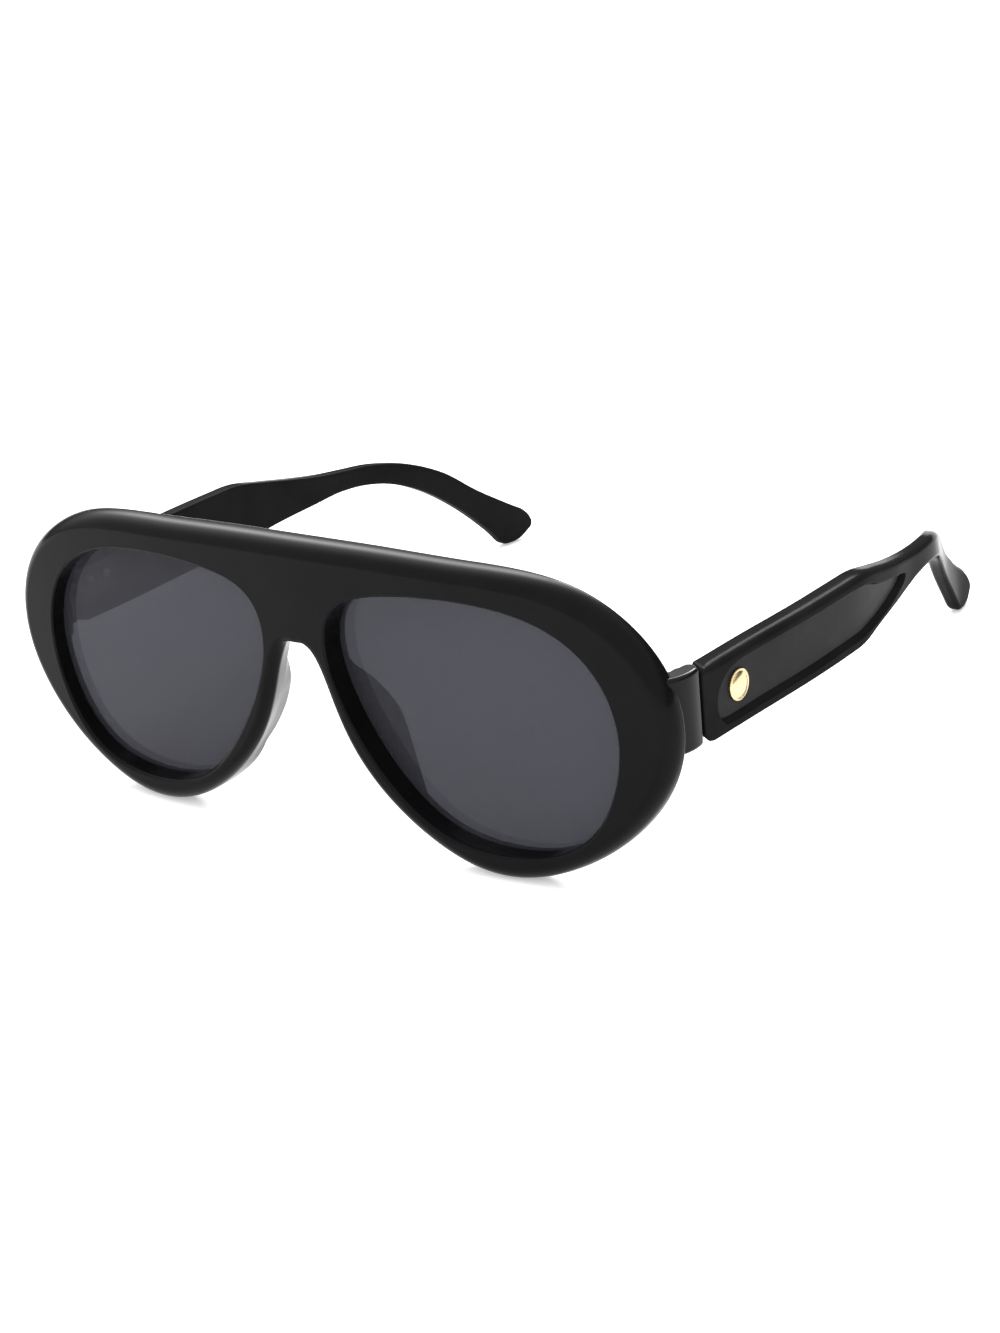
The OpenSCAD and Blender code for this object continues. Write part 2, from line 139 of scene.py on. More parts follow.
# ---------------------------------------------------------------- meshes
class Shell:
    """Points, normals and faces of one piece, in millimetres in the plane of the front."""

    def __init__(self):
        self.V, self.N, self.F, self.M, self.n, self.mat = [], [], [], [], 0, 0

    def add(self, V, N):
        first = self.n
        self.V.append(np.asarray(V, float).reshape(-1, 3))
        self.N.append(np.asarray(N, float).reshape(-1, 3))
        self.n += len(self.V[-1])
        return first

    def stack(self, P, out, ends=(None, None), wrap_k=False):
        """A closed band of rings: P is (around, along, 3), out is a rough outward direction for each point."""
        m, k, _ = P.shape
        dm = np.roll(P, -1, 0) - np.roll(P, 1, 0)
        dk = np.gradient(P, axis=1)
        N = np.cross(dm, dk)
        N /= np.maximum(np.linalg.norm(N, axis=2), 1e-12)[..., None]
        if np.mean(np.sum(N * out, axis=2)) < 0:
            N = -N
        for e, at in zip(ends, (0, k - 1)):
            if e is not None:
                N[:, at] = e
        first = self.add(P, N)
        idx = first + np.arange(m * k).reshape(m, k)
        a, b = idx[:, :-1], np.roll(idx, -1, 0)[:, :-1]
        c, d = np.roll(idx, -1, 0)[:, 1:], idx[:, 1:]
        self.F += np.stack([a, b, c, d], -1).reshape(-1, 4).tolist()
        self.M += [self.mat] * (len(self.F) - len(self.M))
        return idx

    def fill(self, rings, axes, lift, spacing, grain=0.6):
        """A smooth face between rings of existing points. The first ring is the outer one, the others are holes.
        axes picks the two flat coordinates, lift gives (points, normals) for new flat points."""
        allV = np.vstack(self.V)
        flat = [allV[r][:, axes] for r in rings]
        pts = np.vstack(flat)
        edges, o = [], 0
        for f in flat:
            m = len(f)
            edges += [(o + i, o + (i + 1) % m) for i in range(m)]
            o += m
        lo, hi = flat[0].min(0), flat[0].max(0)
        gx = np.arange(lo[0] + spacing / 2, hi[0], spacing)
        gy = np.arange(lo[1] + spacing / 2, hi[1], spacing * 0.87)
        grid = np.array([(x + (0.5 * spacing if j % 2 else 0), y) for j, y in enumerate(gy) for x in gx])
        keep = inside(flat[0], grid)
        for f in flat[1:]:
            keep &= ~inside(f, grid)
        grid = grid[keep]
        if len(grid):
            near = np.full(len(grid), 1e9)
            for s in range(0, len(pts), 200):
                d = np.linalg.norm(grid[:, None] - pts[None, s:s + 200], axis=2).min(1)
                near = np.minimum(near, d)
            grid = grid[near > grain * spacing]
        n_ring = len(pts)
        full = np.vstack([pts, grid]) if len(grid) else pts
        _, _, faces, orig, _, _ = delaunay_2d_cdt([Vector(p) for p in full], edges, [], 0, 1e-7)
        if len(grid):
            V, N = lift(grid)
            first = self.add(V, N)
        ring_ids = np.concatenate([np.asarray(r) for r in rings])
        src = [min(o) if len(o) else -1 for o in orig]
        tri = np.array([[src[i] for i in f] for f in faces if all(src[i] >= 0 for i in f)])
        mid = full[tri].mean(1)
        a, b, c = full[tri[:, 0]], full[tri[:, 1]], full[tri[:, 2]]
        size = np.abs((b - a)[:, 0] * (c - a)[:, 1] - (b - a)[:, 1] * (c - a)[:, 0])
        ok = inside(flat[0], mid) & (size > 1e-9)
        for f in flat[1:]:
            ok &= ~inside(f, mid)
        for t in tri[ok]:
            self.F.append([int(ring_ids[i]) if i < n_ring else int(first + i - n_ring) for i in t])
        self.M += [self.mat] * (len(self.F) - len(self.M))

    def mirrored(self):
        other = Shell()
        other.V = [v * [-1, 1, 1] for v in self.V]
        other.N = [v * [-1, 1, 1] for v in self.N]
        other.F = [list(f) for f in self.F]
        other.M = list(self.M)
        other.n = self.n
        return other

    def make(self, name, *materials):
        V, N = np.vstack(self.V), np.vstack(self.N)
        N = N / np.maximum(np.linalg.norm(N, axis=1), 1e-12)[:, None]
        faces = []
        for f in self.F:
            p = V[f]
            g = np.cross(p[1] - p[0], p[2] - p[0])
            if len(f) == 4:
                g = g + np.cross(p[2] - p[0], p[3] - p[0])
            faces.append(f if np.dot(g, N[f].sum(0)) > 0 else f[::-1])
        mesh = bpy.data.meshes.new(name)
        mesh.from_pydata(to_row(V).tolist(), [], faces)
        mesh.polygons.foreach_set("use_smooth", [True] * len(mesh.polygons))
        mesh.normals_split_custom_set_from_vertices(turn(N).tolist())
        mesh.update()
        obj = bpy.data.objects.new(name, mesh)
        bpy.context.scene.collection.objects.link(obj)
        for m in materials:
            mesh.materials.append(m)
        mesh.polygons.foreach_set("material_index", self.M)
        return obj


# ---------------------------------------------------------------- materials
def new_material(name):
    m = bpy.data.materials.new(name)
    m.use_nodes = True
    nt = m.node_tree
    bsdf = nt.nodes["Principled BSDF"]
    return m, nt, bsdf


def coords(nt, scale=(1, 1, 1)):
    tc = nt.nodes.new("ShaderNodeTexCoord")
    mp = nt.nodes.new("ShaderNodeMapping")
    mp.inputs["Scale"].default_value = scale
    nt.links.new(tc.outputs["Object"], mp.inputs["Vector"])
    return mp.outputs["Vector"]


def noise(nt, vec, scale, detail=3, rough=0.5):
    n = nt.nodes.new("ShaderNodeTexNoise")
    n.inputs["Scale"].default_value = scale
    n.inputs["Detail"].default_value = detail
    n.inputs["Roughness"].default_value = rough
    nt.links.new(vec, n.inputs["Vector"])
    return n.outputs["Fac"]


def ranged(nt, fac, lo, hi, a=0.3, b=0.7):
    r = nt.nodes.new("ShaderNodeMapRange")
    r.inputs["From Min"].default_value = a
    r.inputs["From Max"].default_value = b
    r.inputs["To Min"].default_value = lo
    r.inputs["To Max"].default_value = hi
    nt.links.new(fac, r.inputs["Value"])
    return r.outputs["Result"]


def ramp(nt, fac, c0, c1, p0=0.35, p1=0.65):
    r = nt.nodes.new("ShaderNodeValToRGB")
    r.color_ramp.elements[0].position = p0
    r.color_ramp.elements[0].color = (*c0, 1)
    r.color_ramp.elements[1].position = p1
    r.color_ramp.elements[1].color = (*c1, 1)
    nt.links.new(fac, r.inputs["Fac"])
    return r.outputs["Color"]


def bump(nt, bsdf, height, distance, strength):
    b = nt.nodes.new("ShaderNodeBump")
    b.inputs["Strength"].default_value = strength
    b.inputs["Distance"].default_value = distance
    nt.links.new(height, b.inputs["Height"])
    nt.links.new(b.outputs["Normal"], bsdf.inputs["Normal"])
    return b


def acetate(name, spec=0.062, rough=(0.13, 0.18), base=(0.003, 0.003, 0.0034)):
    """Polished black acetate: a deep black with a faint cloud in it, fine polishing haze and a barely wavy skin."""
    m, nt, b = new_material(name)
    v = coords(nt)
    cloud = noise(nt, v, 90, 4, 0.6)
    nt.links.new(ramp(nt, cloud, base, tuple(c * 1.35 for c in base)), b.inputs["Base Color"])
    haze = noise(nt, v, 650, 5, 0.65)
    nt.links.new(ranged(nt, haze, rough[0], rough[1]), b.inputs["Roughness"])
    b.inputs["IOR"].default_value = 1.48
    b.inputs["Specular IOR Level"].default_value = spec
    wave = noise(nt, v, 260, 2, 0.4)
    bump(nt, b, wave, 0.00002, 0.25)
    return m


def tinted_lens(name):
    """Dark grey lens: see-through with a smooth tint and a hard polished skin. Only part passes light; the rest is a
    flat diffuse grey veil, painted reflection standing in for the sheen on the glass.
    """
    m, nt, b = new_material(name)
    v = coords(nt)
    tint = noise(nt, v, 25, 2, 0.4)
    nt.links.new(ramp(nt, tint, (0.0548, 0.0556, 0.0662), (0.0568, 0.0576, 0.0688)), b.inputs["Base Color"])
    smear = noise(nt, v, 140, 4, 0.6)
    nt.links.new(ranged(nt, smear, 0.0, 0.03, 0.45, 0.8), b.inputs["Roughness"])
    b.inputs["IOR"].default_value = 1.13
    # painted reflection: 38% of the lens scatters as diffuse grey instead of passing light, and the low IOR keeps the
    # real reflection faint
    b.inputs["Transmission Weight"].default_value = 0.62
    return m


def steel(name, base=(0.34, 0.34, 0.35), rough=(0.26, 0.4), grain=(900, 900, 60)):
    m, nt, b = new_material(name)
    fine = noise(nt, coords(nt, tuple(g / 60 for g in grain)), 60, 4, 0.6)
    nt.links.new(ramp(nt, fine, tuple(c * 0.85 for c in base), base), b.inputs["Base Color"])
    nt.links.new(ranged(nt, fine, *rough), b.inputs["Roughness"])
    b.inputs["Metallic"].default_value = 1.0
    bump(nt, b, fine, 0.00001, 0.35)
    return m


def gold(name):
    m, nt, b = new_material(name)
    v = coords(nt)
    cloud = noise(nt, v, 420, 4, 0.6)
    nt.links.new(ramp(nt, cloud, (0.56, 0.43, 0.23), (0.67, 0.55, 0.33)), b.inputs["Base Color"])
    fine = noise(nt, coords(nt, (3, 1, 14)), 700, 4, 0.65)
    nt.links.new(ranged(nt, fine, 0.14, 0.3), b.inputs["Roughness"])
    b.inputs["Metallic"].default_value = 1.0
    bump(nt, b, fine, 0.00001, 0.3)
    return m


black = acetate("acetate_front")
# Lit and shaded copies of the one black acetate follow, each tuned to how bright that part shows under the light. Arms:
# painted shade, a copy with a tenth of the front's gloss and a slightly lighter black to make up for it.
black_arm = acetate("acetate_arm", spec=0.0065, base=(0.0075, 0.0075, 0.0078))
# Hinge ends: painted sheen, a lit copy with nearly twice the front's gloss.
black_end_sheen = acetate("acetate_end", spec=0.115)
# Nose pads: painted sheen, a lit copy with about three times the front's gloss so their flanks shine.
black_pad_sheen = acetate("acetate_pad", spec=0.2, rough=(0.14, 0.2))
# Recess floor: painted light, a lighter black standing in for the light the floor catches, with a rougher skin.
recess_lit_mat = acetate("acetate_recess", spec=0.031, rough=(0.3, 0.38), base=(0.0142, 0.0142, 0.0146))
lens_mat = tinted_lens("lens_tint")
hinge_mat = steel("hinge_satin", base=(0.14, 0.14, 0.145))
rivet_mat = steel("rivet_polished", base=(0.42, 0.41, 0.4), rough=(0.16, 0.26), grain=(400, 400, 400))
screw_mat = steel("screw_turned", base=(0.4, 0.395, 0.39), rough=(0.18, 0.3), grain=(300, 300, 1500))
core_mat = steel("core_drawn", grain=(900, 60, 900))
gold_mat = gold("gold_polished")

# ---------------------------------------------------------------- front
HALF = [[0, 56], [17, 56], [33, 55.4], [46, 55.3], [58, 53.3], [68.5, 46.5], [74.8, 36.5], [74.8, 24],
        [67.5, 12.5], [56.5, 4], [41.5, -1.5], [26, 2.5], [9.7, 17.4], [5.5, 32.7], [2.4, 38], [0, 37.2]]
LENS = [[66, 29], [61.5, 41.5], [50.5, 48.5], [34.5, 50], [19, 49], [8, 46], [6, 34.5],
        [14.5, 18], [26, 6.5], [39.5, 4], [54, 6], [62.5, 15]]
FRONT_R, BACK_R, FRONT_T = 525.0, 800.0, 6.4
LENS_DEPTH, LENS_T, LENS_R = 4.5, 1.2, 800.0


def sag(x, r):
    return r - np.sqrt(r * r - x * x)


def face_front(x):
    return sag(x, FRONT_R)


def face_back(x):
    return FRONT_T + sag(x, BACK_R)


def cyl_normal(x, r, back):
    n = np.stack([x / r, -np.sqrt(1 - (x / r) ** 2), np.zeros_like(x)], -1)
    return -n if back else n


def quarter(n):
    t = np.linspace(0, math.pi / 2, n + 1)
    return 1 - np.sin(t), 1 - np.cos(t)


def slab_band(C, n2, sign, a, b, rb, splay, front_n=10, wall_n=4, back_n=6):
    """Rings from the front face over a rounded edge, along the wall and round onto the back face.
    sign -1 insets the loop (outer edge of the material), +1 grows it (edge of a hole)."""
    qa, qb = quarter(front_n)
    cols = []
    T = face_back(C[:, 0]) - face_front(C[:, 0])
    for u, v in zip(qa, qb):
        cols.append(("f", a * u, b * v))
    for t in np.linspace(0, 1, wall_n + 2)[1:-1]:
        cols.append(("w", np.zeros(len(C)), t))
    qa2, qb2 = quarter(back_n)
    for u, v in zip(qa2[::-1], qb2[::-1]):
        cols.append(("b", rb * u, rb * v))
    P = []
    for kind, u, v in cols:
        if kind == "f":
            deep = v
        elif kind == "w":
            deep = mix(b, T - rb, v)
        else:
            deep = T - v
        slant = splay * np.clip((deep - b) / (T - b), 0, 1)
        q = C + sign * n2 * (u + slant)[:, None]
        y0, y1 = face_front(q[:, 0]), face_back(q[:, 0])
        if kind == "f":
            y = y0 + v
        elif kind == "w":
            y = mix(y0 + b, y1 - rb, v)
        else:
            y = y1 - v
        P.append(np.stack([q[:, 0], y, q[:, 1]], 1))
    return np.stack(P, 1)


def front_piece():
    S = Shell()
    half = np.array(HALF, float)
    loop = np.vstack([half, half[-2:0:-1] * [-1, 1]])
    C = ccw(even(loop_curve(loop, 24), 640))
    n2 = outward(C)
    ax, z = np.abs(C[:, 0]), C[:, 1]
    low = (z < 45).astype(float)
    notch = soften((1 - smooth01(13, 30, ax)) * low, 4)
    crown = soften((1 - smooth01(0.6, 3.2, ax)) * low, 3)
    top = soften(smooth01(46, 53, z), 6)
    a = mix(mix(2.8, 2.0, notch), 0.9, crown)
    b = mix(mix(mix(3.0, 2.0, notch), 0.9, crown), 4.3, top)
    rb = mix(0.9, 0.12, soften((1 - smooth01(18, 26, ax)) * (z < 33), 4))
    rb = mix(rb, 1.6, soften((1 - smooth01(6, 10, ax)) * low * (z > 33.5), 4))
    splay = 1.7 * soften((1 - smooth01(10, 18, ax)) * low, 4)
    P = slab_band(C, n2, -1, a, b, rb, splay)
    out = np.broadcast_to(np.stack([n2[:, 0], 0 * n2[:, 0], n2[:, 1]], 1)[:, None], P.shape)
    ends = (cyl_normal(P[:, 0, 0], FRONT_R, False), cyl_normal(P[:, -1, 0], BACK_R, True))
    rim = S.stack(P, out, ends)
    holes = []
    for side in (1, -1):
        H = ccw(even(loop_curve(np.array(LENS) * [side, 1], 24), 340))
        hn = outward(H)
        one = np.ones(len(H))
        lip = soften(mix(0.8, 0.5, smooth01(9, 22, H[:, 1])), 4)
        Q = slab_band(H, hn, 1, lip, lip, 0.5 * one, 0 * one, 7, 3, 4)
        out = np.broadcast_to(np.stack([-hn[:, 0], 0 * hn[:, 0], -hn[:, 1]], 1)[:, None], Q.shape)
        ends = (cyl_normal(Q[:, 0, 0], FRONT_R, False), cyl_normal(Q[:, -1, 0], BACK_R, True))
        holes.append(S.stack(Q, out, ends))

    def lift_front(p):
        return np.stack([p[:, 0], face_front(p[:, 0]), p[:, 1]], 1), cyl_normal(p[:, 0], FRONT_R, False)

    def lift_back(p):
        return np.stack([p[:, 0], face_back(p[:, 0]), p[:, 1]], 1), cyl_normal(p[:, 0], BACK_R, True)

    S.fill([rim[:, 0]] + [h[:, 0] for h in holes], [0, 2], lift_front, 2.2)
    S.fill([rim[:, -1]] + [h[:, -1] for h in holes], [0, 2], lift_back, 2.2)
    # end pieces that carry the hinges
    # slot 1 is the lit copy of the acetate, with painted sheen
    S.mat = 1
    for side in (1, -1):
        ear = thru_curve([[71.0, 6.3], [72.4, 7.3], [73.6, 9], [74.25, 11], [74.45, 12.8], [74.3, 14.6]], 8)
        flat = np.array([[73.3, 15.4], [72.3, 15.8], [71.3, 15.3], [70.8, 14.3], [70.8, 13.6], [70.4, 13.2], [70.4, 11.2], [66.2, 11.2], [66.2, 7.6]])
        E = ccw(even(np.vstack([ear, flat]) * [side, 1], 220))
        E = soften(E, 1.6)
        tuck = mix(0.35, 1, smooth01(0.6, 2.2, np.linalg.norm(E - [side * 72.2, 15.7], axis=1)))
        en = outward(E) * tuck[:, None]
        z0, z1, r = 25.9, 39.5, 0.75
        qa, qb = quarter(6)
        rows = [(r * u, z1 - r * v) for u, v in zip(qa, qb)]
        rows += [(0, z) for z in np.linspace(z1 - r, z0 + r, 6)[1:-1]]
        rows += [(r * u, z0 + r * v) for u, v in zip(qa[::-1], qb[::-1])]
        P = np.stack([np.column_stack([E - en * u, np.full(len(E), z)]) for u, z in rows], 1)
        out = np.broadcast_to(np.column_stack([en, 0 * en[:, 0]])[:, None], P.shape)
        top, low = np.array([0, 0, 1.0]), np.array([0, 0, -1.0])
        ear_ring = S.stack(P, out, (top, low))
        for at, nz, z in ((0, top, z1), (-1, low, z0)):
            S.fill([ear_ring[:, at]], [0, 1],
                   lambda p, nz=nz, z=z: (np.column_stack([p, np.full(len(p), z)]), np.tile(nz, (len(p), 1))), 1.2)
    return S


front = front_piece().make("front_rims", black, black_end_sheen)
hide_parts("front_frame")
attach(front, "front")


# ---------------------------------------------------------------- lenses
def lens_piece(side):
    S = Shell()
    H = ccw(even(loop_curve(np.array(LENS) * [side, 1], 24), 340))
    n2 = outward(H)
    rows = [(0.30, 0.0), (0.38, 0.03), (0.42, 0.1), (0.42, LENS_T / 2), (0.42, LENS_T - 0.1), (0.38, LENS_T - 0.03), (0.30, LENS_T)]
    P = []
    for u, v in rows:
        q = H + n2 * u
        P.append(np.stack([q[:, 0], LENS_DEPTH + sag(q[:, 0], LENS_R) + v, q[:, 1]], 1))
    P = np.stack(P, 1)
    out = np.broadcast_to(np.stack([n2[:, 0], 0 * n2[:, 0], n2[:, 1]], 1)[:, None], P.shape)
    ring = S.stack(P, out, (cyl_normal(P[:, 0, 0], LENS_R, False), cyl_normal(P[:, -1, 0], LENS_R, True)))
    for at, back, d in ((0, False, 0), (-1, True, LENS_T)):
        S.fill([ring[:, at]], [0, 2],
               lambda p, back=back, d=d: (np.stack([p[:, 0], LENS_DEPTH + sag(p[:, 0], LENS_R) + d, p[:, 1]], 1),
                                          cyl_normal(p[:, 0], LENS_R, back)), 2.0)
    return S


for name, side in (("left", 1), ("right", -1)):
    o = lens_piece(side).make("lens_" + name + "_tinted", lens_mat)
    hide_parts("lens_" + name)
    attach(o, "front")

# ---------------------------------------------------------------- nose pads
# z, x of the nose side at the rim, x and y of the middle of the crest, crest radius
PAD = [[34, 6.3, 7, 5.3, 0.8], [33.2, 6.6, 7.7, 5.4, 1.1], [32, 7.1, 8.8, 5.95, 1.3], [30, 7.8, 10, 7.5, 1.3], [28, 8.5, 10.9, 8.7, 1.3],
       [26, 9.25, 11.8, 9.6, 1.3], [24, 10.05, 12.8, 10.2, 1.3], [22, 11, 13.6, 10.25, 1.3], [20, 12.05, 14.4, 10, 1.3],
       [18, 13.25, 15.35, 9.6, 1.3], [16, 14.65, 16.4, 9, 1.3], [14, 16.15, 17.65, 8.2, 1.3], [12, 17.7, 19.05, 7.3, 1.3],
       [10, 19.4, 20.5, 6.45, 1.2], [8.8, 20.7, 21.45, 5.95, 0.9]]


def pad_piece():
    S = Shell()
    P = []
    for z, xb, kx, ky, r in thru_curve(PAD, 8):
        y0 = 6 + xb * xb / 1600
        d = np.array([kx - xb, ky - 6.2])
        a = math.atan2(d[1], d[0]) + math.asin(min(0.98, r / np.linalg.norm(d))) + math.pi / 2
        first = np.array([kx + r * math.cos(a), max(ky + r * math.sin(a), y0 + 0.01)])
        flank = [np.array([xb, y0]) + (first - [xb, y0]) * t for t in np.linspace(0, 1, 9)[:-1]]
        arc = []
        for k, w in enumerate(np.linspace(a, 0, 17)):
            arc.append(np.array([kx + r * math.cos(w), max(ky + r * math.sin(w), y0 + 0.01 * (k + 1) / 3)]))
        back = [arc[-1] + (np.array([kx + r, y0]) - arc[-1]) * t for t in np.linspace(0, 1, 7)[1:]]
        under = [back[-1] + (np.array([xb, y0]) - back[-1]) * t for t in np.linspace(0, 1, 7)[1:-1]]
        ring = np.array(flank + arc + back + under)
        P.append(np.column_stack([ring, np.full(len(ring), z)]))
    P = np.stack(P, 1)
    mid = P.mean(0, keepdims=True)
    S.stack(P, P - mid)
    return S


pad = pad_piece()
for name, side in (("left", 1), ("right", -1)):
    o = (pad if side > 0 else pad.mirrored()).make("pad_" + name + "_ridge", black_pad_sheen)
    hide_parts("nose_pad_" + name)
    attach(o, "front")

# ---------------------------------------------------------------- temples
ROWS = [[20, 25.5, 72.5, 20, 38.7, 72.5, 2.1], [33, 25.5, 72.85, 33, 38.85, 72.85, 2.1],
        [48, 25.65, 73.5, 48, 39, 73.5, 2.1], [60, 25.8, 73.6, 60, 39.1, 73.6, 2.1], [66, 26.1, 73.55, 67, 39, 73.5, 2.1],
        [72, 27.2, 73, 74, 37.7, 72.8, 2], [79, 28.1, 72.1, 82, 36.1, 71.7, 1.95], [87, 28.9, 70.8, 90, 34.8, 70.2, 1.85],
        [94.5, 29.6, 69.7, 97, 34.1, 69, 1.8], [102, 29.2, 68.2, 104.5, 33.4, 67.2, 1.75], [109, 27.5, 65.9, 112, 31.6, 64, 1.7],
        [116, 23.8, 62.6, 119.6, 27.8, 60.6, 1.65], [123, 18.2, 59.6, 127, 22, 57.8, 1.6], [130, 11.5, 57.6, 134.6, 17, 55.7, 1.6],
        [133.3, 7.75, 56.9, 139.4, 14.2, 54.9, 1.6]]
HEAD = [[15, 27.5, 72.4, 15, 38.1, 72.4, 2.1], [15.5, 26.5, 72.4, 15.4, 38.5, 72.4, 2.1],
        [16.4, 25.8, 72.4, 16.2, 38.7, 72.4, 2.1], [17.8, 25.5, 72.42, 17.8, 38.7, 72.42, 2.1]]
TAIL = [[134.4, 6.95, 56.7, 141.4, 12.4, 54.7, 1.5], [136.9, 6.8, 56.4, 142.5, 10.6, 54.9, 1.2], [139.2, 7.2, 56.2, 142.4, 9.2, 55.3, 0.8]]
rows = np.vstack([HEAD, thru_curve(ROWS, 8), TAIL])

# middle surface of an arm over its side view, as a thin-plate fit through the section rows
_k = np.vstack([HEAD[0:1], ROWS, TAIL[1:2]])
_c = np.vstack([_k[:, [0, 1, 2]], _k[:, [3, 4, 5]]])


def _tps(d):
    return np.where(d > 1e-9, d * d * np.log(np.maximum(d, 1e-9)), 0)


_D = _tps(np.linalg.norm(_c[:, None, :2] - _c[None, :, :2], axis=2)) + np.eye(len(_c)) * 0.5
_A = np.block([[_D, np.column_stack([np.ones(len(_c)), _c[:, :2]])],
               [np.vstack([np.ones(len(_c)), _c[:, :2].T]), np.zeros((3, 3))]])
_w = np.linalg.solve(_A, np.r_[_c[:, 2], 0, 0, 0])


def arm_mid(p):
    K = _tps(np.linalg.norm(p[:, None] - _c[None, :, :2], axis=2))
    return K @ _w[:len(_c)] + _w[-3] + p @ _w[-2:]


def arm_half(y):
    return np.interp(y, [15, 66, 74, 82, 90, 97, 104, 112, 120, 127, 143], [2.1, 2.1, 2.0, 1.95, 1.85, 1.8, 1.75, 1.7, 1.65, 1.6, 1.5])


def arm_x(p, depth, from_outer=True):
    h = arm_half(p[:, 0])
    return arm_mid(p) + (h - depth if from_outer else depth - h)


def arm_normal(p, outer):
    e = 0.05
    fy = (arm_x(p + [e, 0], 0, outer) - arm_x(p - [e, 0], 0, outer)) / (2 * e)
    fz = (arm_x(p + [0, e], 0, outer) - arm_x(p - [0, e], 0, outer)) / (2 * e)
    n = np.stack([np.ones(len(p)), -fy, -fz], 1)
    n /= np.linalg.norm(n, axis=1)[:, None]
    return n if outer else -n


PANEL_D = 1.1


def arm_piece():
    S = Shell()
    C = ccw(even(np.vstack([rows[:, [0, 1]], rows[::-1][:, [3, 4]]]), 900))
    C = soften(C, 1.6)
    n2 = outward(C)
    y = C[:, 0]
    high = soften(smooth01(-0.3, 0.3, n2[:, 1]), 3)
    radii = []
    for below, above in ((1.15, 0.65), (0.85, 1.05)):
        r = mix(0.55, mix(below, above, high), smooth01(62, 104, y))
        r = mix(r, 1.0, smooth01(130, 134, y))
        radii.append(soften(np.where(y < 15.6, 0.4, r), 3))
    ro, ri = radii
    # the upper outer edge is a broad soft round
    broad = soften(high * smooth01(15.4, 17.5, y) * (1 - smooth01(126, 133, y)), 3)
    rx = mix(ro, mix(1.95, 1.35, smooth01(66, 100, y)), broad)
    rz = mix(ro, mix(1.3, 0.95, smooth01(66, 100, y)), broad)
    qa, qb = quarter(8)
    cols = []
    for u, v in zip(qa, qb):
        q = C - n2 * (rz * u)[:, None]
        cols.append(np.stack([arm_x(q, rx * v), q[:, 0], q[:, 1]], 1))
    for t in (0.25, 0.5, 0.75):
        h = arm_half(C[:, 0])
        cols.append(np.stack([arm_mid(C) + mix(h - rx, ri - h, t), C[:, 0], C[:, 1]], 1))
    for u, v in zip(qa[::-1], qb[::-1]):
        q = C - n2 * (ri * u)[:, None]
        cols.append(np.stack([arm_x(q, ri * v, False), q[:, 0], q[:, 1]], 1))
    P = np.stack(cols, 1)
    out = np.broadcast_to(np.column_stack([0 * n2[:, 0], n2])[:, None], P.shape)
    edge = S.stack(P, out, (arm_normal(P[:, 0, 1:], True), arm_normal(P[:, -1, 1:], False)))
    # recessed side panel
    lip = np.vstack([thru_curve([[62, 37.1], [68, 36.6], [74, 34.8], [80, 33.7], [84.6, 32.9], [86, 32.2], [84, 31], [75, 28.9], [66, 27.7]], 8),
                     [[50, 27.3]], thru_curve([[32, 27.1], [22.4, 27.1], [20, 28.7], [19.3, 31.5], [20.2, 34], [22.8, 36], [27, 36.9]], 8)])
    Q = soften(ccw(even(lip, 620)), 2.0)
    qn = outward(Q)
    draft = mix(0.15, 0.55, smooth01(-0.1, 0.6, -qn[:, 1]))
    draft = soften(np.maximum(draft, mix(0.15, 0.5, smooth01(0.3, 0.8, qn[:, 0]))), 4)
    e, f = 0.28, 0.22
    qa, qb = quarter(5)
    steps = [(e * u + 0 * draft, e * v + 0 * draft) for u, v in zip(qa, qb)]
    for t in (0.33, 0.67):
        steps.append((-draft * t, mix(e, PANEL_D - f, t) + 0 * draft))
    for t in np.linspace(0, math.pi / 2, 6):
        steps.append((-draft - f + f * math.cos(t), PANEL_D - f + f * math.sin(t) + 0 * draft))
    cols = []
    for u, v in steps:
        q = Q + qn * u[:, None]
        cols.append(np.stack([arm_x(q, v), q[:, 0], q[:, 1]], 1))
    P = np.stack(cols, 1)
    out = np.broadcast_to(np.column_stack([0.6 + 0 * qn[:, 0], -qn])[:, None], P.shape)
    hole = S.stack(P, out, (arm_normal(P[:, 0, 1:], True), arm_normal(P[:, -1, 1:], True)))
    S.fill([edge[:, 0], hole[:, 0]], [1, 2], lambda p: (np.column_stack([arm_x(p, 0), p]), arm_normal(p, True)), 1.5)
    # the recess floor takes the lighter copy, painted light
    S.mat = 1
    S.fill([hole[:, -1]], [1, 2], lambda p: (np.column_stack([arm_x(p, PANEL_D), p]), arm_normal(p, True)), 1.5)
    S.mat = 0
    S.fill([edge[:, -1]], [1, 2], lambda p: (np.column_stack([arm_x(p, 0, False), p]), arm_normal(p, False)), 1.5)
    # the hinge end is cut at a slant
    for v in S.V:
        t = np.clip((v[:, 1] - 15) / 9, 0, 1)
        v[:, 1] += 0.846 * np.clip(74.5 - v[:, 0], 0, 9) * (1 - t) ** 2
    return S


